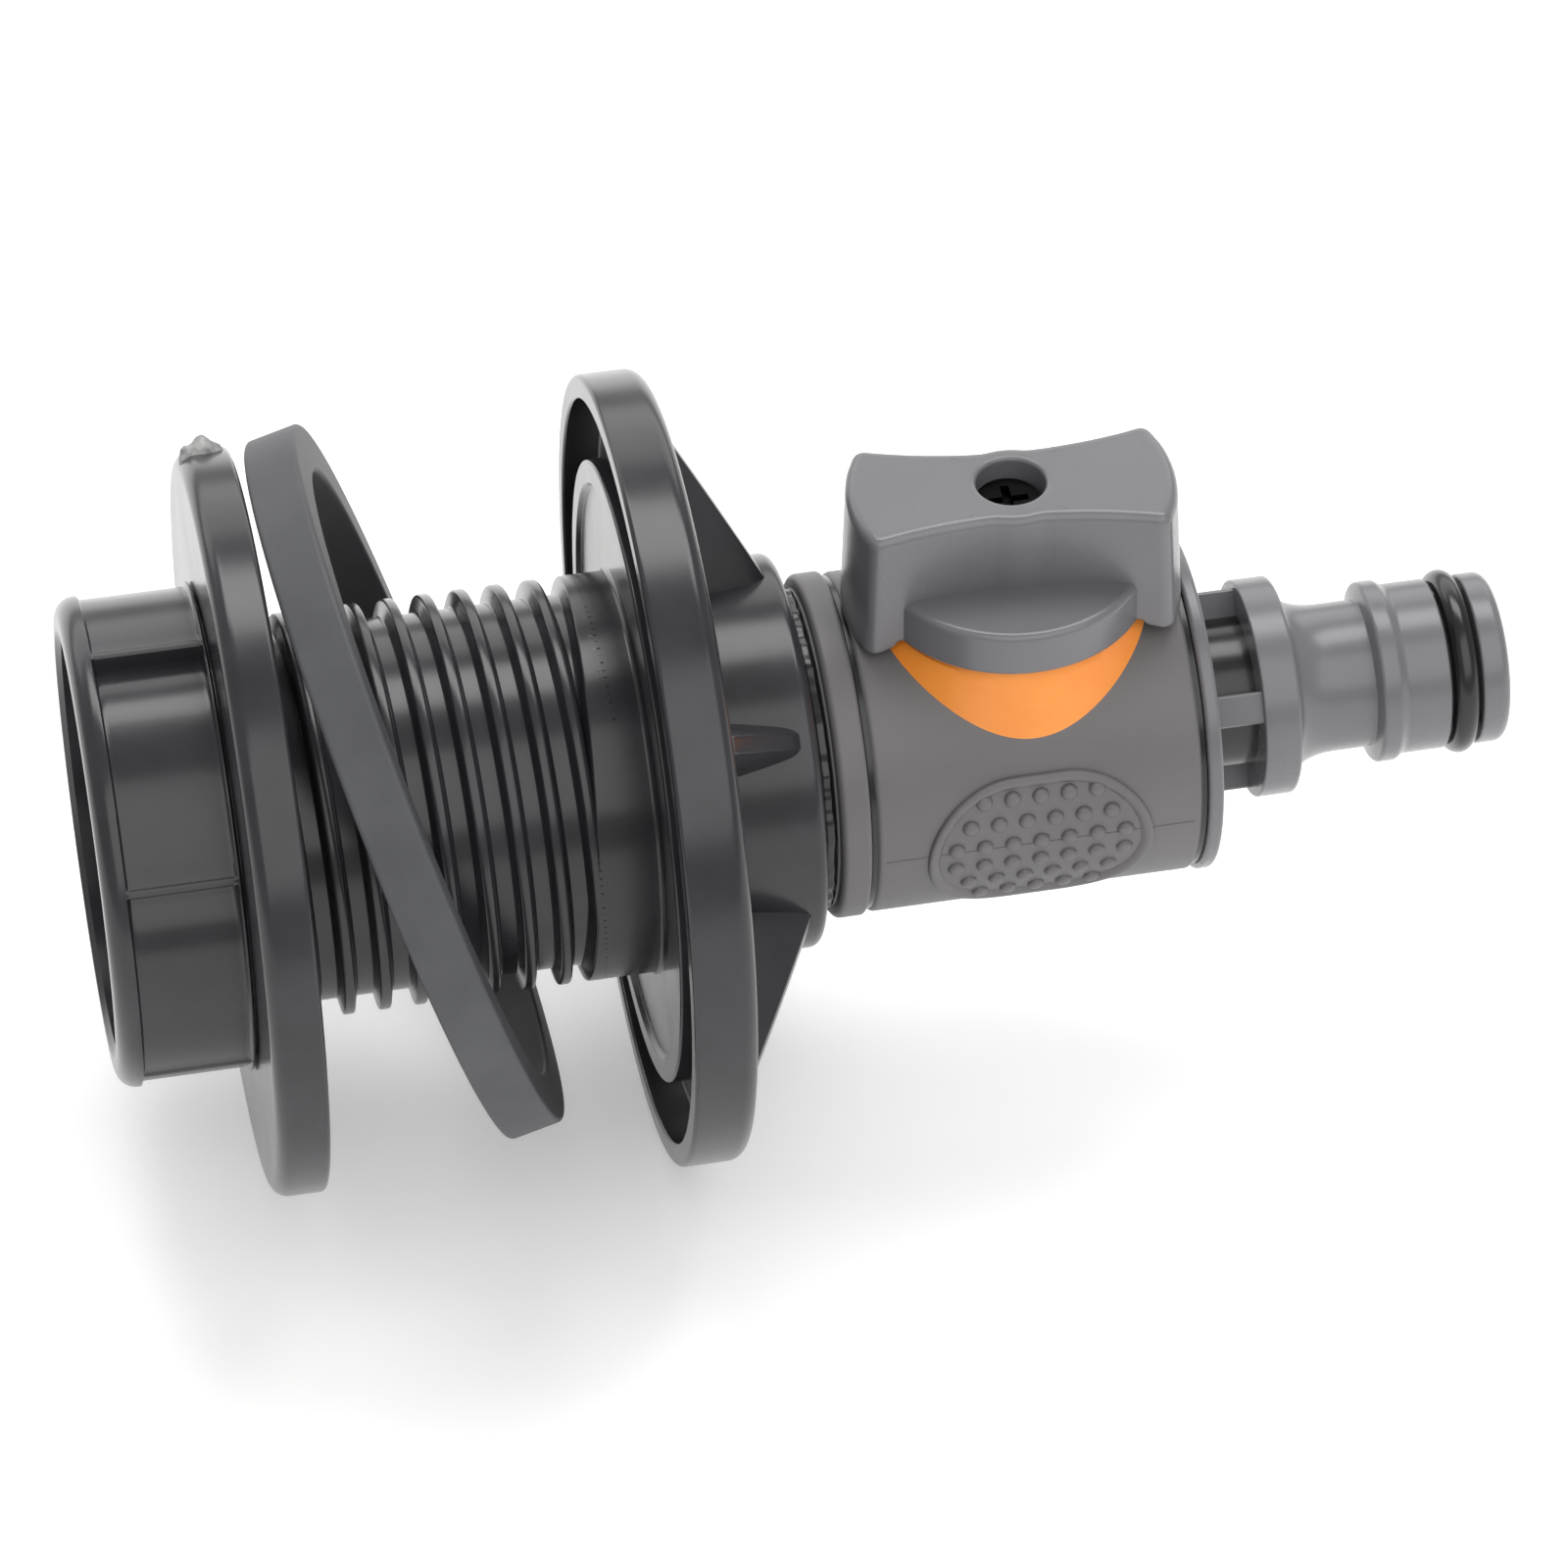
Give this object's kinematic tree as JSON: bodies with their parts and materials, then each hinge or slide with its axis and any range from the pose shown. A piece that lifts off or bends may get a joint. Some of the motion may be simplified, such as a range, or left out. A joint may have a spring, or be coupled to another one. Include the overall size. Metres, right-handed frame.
{
  "type": "rain barrel tap",
  "caption": "Through-wall connector with flange, nut and loose seal, carrying a quarter-turn ball valve with a bow-tie handle and a push-on hose nipple.",
  "frame": {"origin": "on the pipe axis, in the plane where the flange's rim bears on the barrel wall", "axes": "+X along the pipe axis towards the hose nipple, +Z along the valve stem towards the handle, +Y across, so -Y is the side the picture shows"},
  "size_m": [0.1299, 0.073, 0.073],
  "materials": {
    "dark_moulded": "moulded polypropylene, semi-gloss, charcoal",
    "grey_moulded": "moulded ABS, fine satin, mid grey",
    "handle_moulded": "moulded ABS, smooth satin, mid grey",
    "orange_moulded": "moulded plastic, smooth, orange",
    "seal_rubber": "moulded rubber, matte, dark grey",
    "black_rubber": "moulded rubber, black",
    "seat_plastic": "turned PTFE, waxy white",
    "ball_plastic": "moulded acetal, polished, pale grey",
    "stem_plastic": "moulded acetal, natural white",
    "screw_steel": "stainless steel, turned"
  },
  "bodies": {
    "tap": {"tank_connector": "dark_moulded", "inlet_washer": "black_rubber", "inlet_cap": "grey_moulded", "inlet_cap_seal": "black_rubber", "valve_body": "grey_moulded", "outlet_cap_seal": "black_rubber", "outlet_nipple": "grey_moulded", "nipple_o_ring": "black_rubber", "indicator_collar": "orange_moulded", "ball_seat_inlet": "seat_plastic", "ball_seat_outlet": "seat_plastic", "seat_spring_ring_inlet": "black_rubber", "seat_spring_ring_outlet": "black_rubber"},
    "seal": {"flange_seal_ring": "seal_rubber"},
    "nut": {"tank_nut": "dark_moulded"},
    "valve": {"handle": "handle_moulded", "handle_screw": "screw_steel", "valve_stem": "stem_plastic", "stem_washer": "seat_plastic", "stem_o_ring_lower": "black_rubber", "stem_o_ring_upper": "black_rubber", "valve_ball": "ball_plastic"}
  },
  "joints": [
    {"name": "handle_turn", "type": "hinge", "parent": "tap", "child": "valve", "pos_m": [0.03555, 0, 0], "axis": [0, 0, 1], "range_deg": [-90, 0]},
    {"name": "nut_travel", "type": "slide", "parent": "tap", "child": "seal", "axis": [1, 0, 0], "range_m": [-0.00992, 0.00248]},
    {"name": "nut_turn", "type": "hinge", "parent": "seal", "child": "nut", "pos_m": [-0.0323, 0, 0], "axis": [1, 0, 0], "range_deg": [-1080, 270]}
  ],
  "couplings": [
    {"joint": "nut_travel", "follows": "nut_turn", "m_per_rad": 0.00052521}
  ]
}
